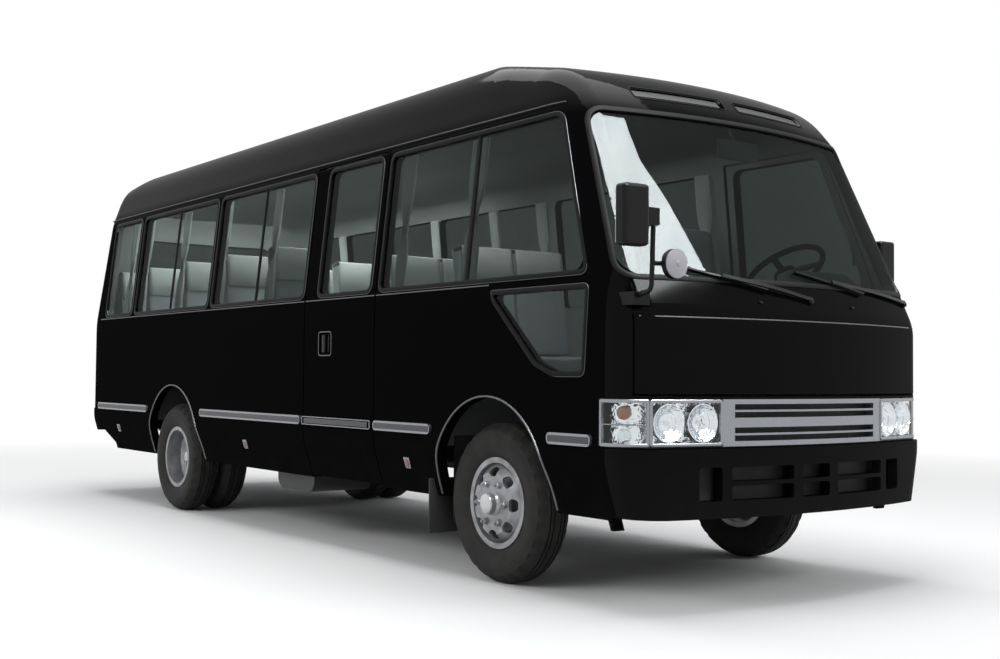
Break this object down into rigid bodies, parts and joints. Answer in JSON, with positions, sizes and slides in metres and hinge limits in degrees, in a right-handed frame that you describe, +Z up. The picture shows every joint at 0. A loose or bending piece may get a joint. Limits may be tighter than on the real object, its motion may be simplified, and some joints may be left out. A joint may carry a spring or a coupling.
{
  "type": "minibus",
  "caption": "Long minibus with a hollow cabin, swing-out passenger door, driver door, front lid, tailgate, steered front wheels and twin rear wheels",
  "frame": {"origin": "on the ground, under the middle of the box around the whole bus", "axes": "+X points forward, +Y to the left of the bus, +Z up"},
  "size_m": [6.99, 2.284, 2.6293],
  "materials": {
    "body_paint": "gloss",
    "glass": "gloss",
    "lamp": "gloss",
    "lamp_red": "gloss",
    "silver_plastic": "satin",
    "tyre": "matt",
    "rim_steel": "satin",
    "frame_steel": "satin",
    "cast": "matt",
    "floor_grey": "matt",
    "seat_fabric": "matt",
    "curtain_fabric": "matt",
    "trim_plastic": "matt",
    "black_plastic": "matt",
    "rubber": "matt"
  },
  "bodies": {
    "body": {"side_wall_right": "body_paint", "side_wall_left": "body_paint", "roof": "body_paint", "front_shell": "body_paint", "rear_shell": "body_paint", "front_bumper": "body_paint", "rear_bumper": "body_paint", "grille": "silver_plastic", "front_lamps": "lamp", "tail_lamps": "lamp_red", "windshield": "glass", "side_glass": "glass", "chassis_frame": "frame_steel", "floor": "floor_grey", "entry_steps": "floor_grey", "floor_housings": "floor_grey", "engine_block": "cast", "fuel_tank": "frame_steel", "exhaust": "frame_steel", "front_axle": "frame_steel", "rear_axle": "frame_steel", "leaf_springs": "frame_steel", "passenger_seats": "seat_fabric", "driver_seat": "seat_fabric", "seat_frames": "frame_steel", "dashboard": "trim_plastic", "curtains": "curtain_fabric", "mirrors": "black_plastic", "rub_strips": "silver_plastic", "mud_flaps": "rubber"},
    "knuckle_left": {"knuckle_left": "cast"},
    "knuckle_right": {"knuckle_right": "cast"},
    "track_rod": {"track_rod": "frame_steel"},
    "wheel_front_left": {"tyre_front_left": "tyre", "rim_front_left": "rim_steel"},
    "wheel_front_right": {"tyre_front_right": "tyre", "rim_front_right": "rim_steel"},
    "wheels_rear_left": {"tyres_rear_left": "tyre", "rims_rear_left": "rim_steel"},
    "wheels_rear_right": {"tyres_rear_right": "tyre", "rims_rear_right": "rim_steel"},
    "door_arm": {"door_arm": "frame_steel"},
    "passenger_door": {"passenger_door": "body_paint", "passenger_door_glass": "glass"},
    "driver_door": {"driver_door": "body_paint", "driver_door_glass": "glass", "driver_mirror": "black_plastic"},
    "hood": {"hood": "body_paint"},
    "tailgate": {"tailgate": "body_paint", "tailgate_glass": "glass"},
    "steering_wheel": {"steering_wheel": "black_plastic"}
  },
  "joints": [
    {"name": "steer_left", "type": "hinge", "parent": "body", "child": "knuckle_left", "pos_m": [2.295, 0.77, 0.386], "axis": [0, 0, 1], "range_deg": [-35, 35]},
    {"name": "steer_right", "type": "hinge", "parent": "body", "child": "knuckle_right", "pos_m": [2.295, -0.77, 0.386], "axis": [0, 0, 1], "range_deg": [-35, 35]},
    {"name": "track_rod_link", "type": "hinge", "parent": "knuckle_left", "child": "track_rod", "pos_m": [2.165, 0.77, 0.328], "axis": [0, 0, 1], "range_deg": [-35, 35]},
    {"name": "wheel_front_left_spin", "type": "hinge", "parent": "knuckle_left", "child": "wheel_front_left", "pos_m": [2.295, 0.832, 0.386], "axis": [0, 1, 0], "continuous": true},
    {"name": "wheel_front_right_spin", "type": "hinge", "parent": "knuckle_right", "child": "wheel_front_right", "pos_m": [2.295, -0.832, 0.386], "axis": [0, 1, 0], "continuous": true},
    {"name": "wheels_rear_left_spin", "type": "hinge", "parent": "body", "child": "wheels_rear_left", "pos_m": [-1.64, 0.745, 0.386], "axis": [0, 1, 0], "continuous": true},
    {"name": "wheels_rear_right_spin", "type": "hinge", "parent": "body", "child": "wheels_rear_right", "pos_m": [-1.64, -0.745, 0.386], "axis": [0, 1, 0], "continuous": true},
    {"name": "door_arm_swing", "type": "hinge", "parent": "body", "child": "door_arm", "pos_m": [1.217, -0.89, 0.95], "axis": [0, 0, 1], "range_deg": [0, 150]},
    {"name": "passenger_door_link", "type": "hinge", "parent": "door_arm", "child": "passenger_door", "pos_m": [0.747, -0.89, 0.95], "axis": [0, 0, 1], "range_deg": [-150, 0]},
    {"name": "driver_door_hinge", "type": "hinge", "parent": "body", "child": "driver_door", "pos_m": [3.095, 1.006, 1.2], "axis": [0, 0, -1], "range_deg": [0, 70]},
    {"name": "hood_hinge", "type": "hinge", "parent": "body", "child": "hood", "pos_m": [3.473, 0, 1.265], "axis": [0, -1, 0], "range_deg": [0, 60]},
    {"name": "tailgate_hinge", "type": "hinge", "parent": "body", "child": "tailgate", "pos_m": [-3.361, 0, 2.2153], "axis": [0, 1, 0], "range_deg": [0, 80]},
    {"name": "steering_wheel_turn", "type": "hinge", "parent": "body", "child": "steering_wheel", "pos_m": [2.84, 0.53, 1.545], "axis": [-0.5736, 0, 0.8192], "range_deg": [-540, 540]}
  ],
  "couplings": [
    {"joint": "steer_right", "follows": "steer_left", "ratio": 1},
    {"joint": "track_rod_link", "follows": "steer_left", "ratio": -1},
    {"joint": "steering_wheel_turn", "follows": "steer_left", "ratio": 15},
    {"joint": "passenger_door_link", "follows": "door_arm_swing", "ratio": -1}
  ]
}
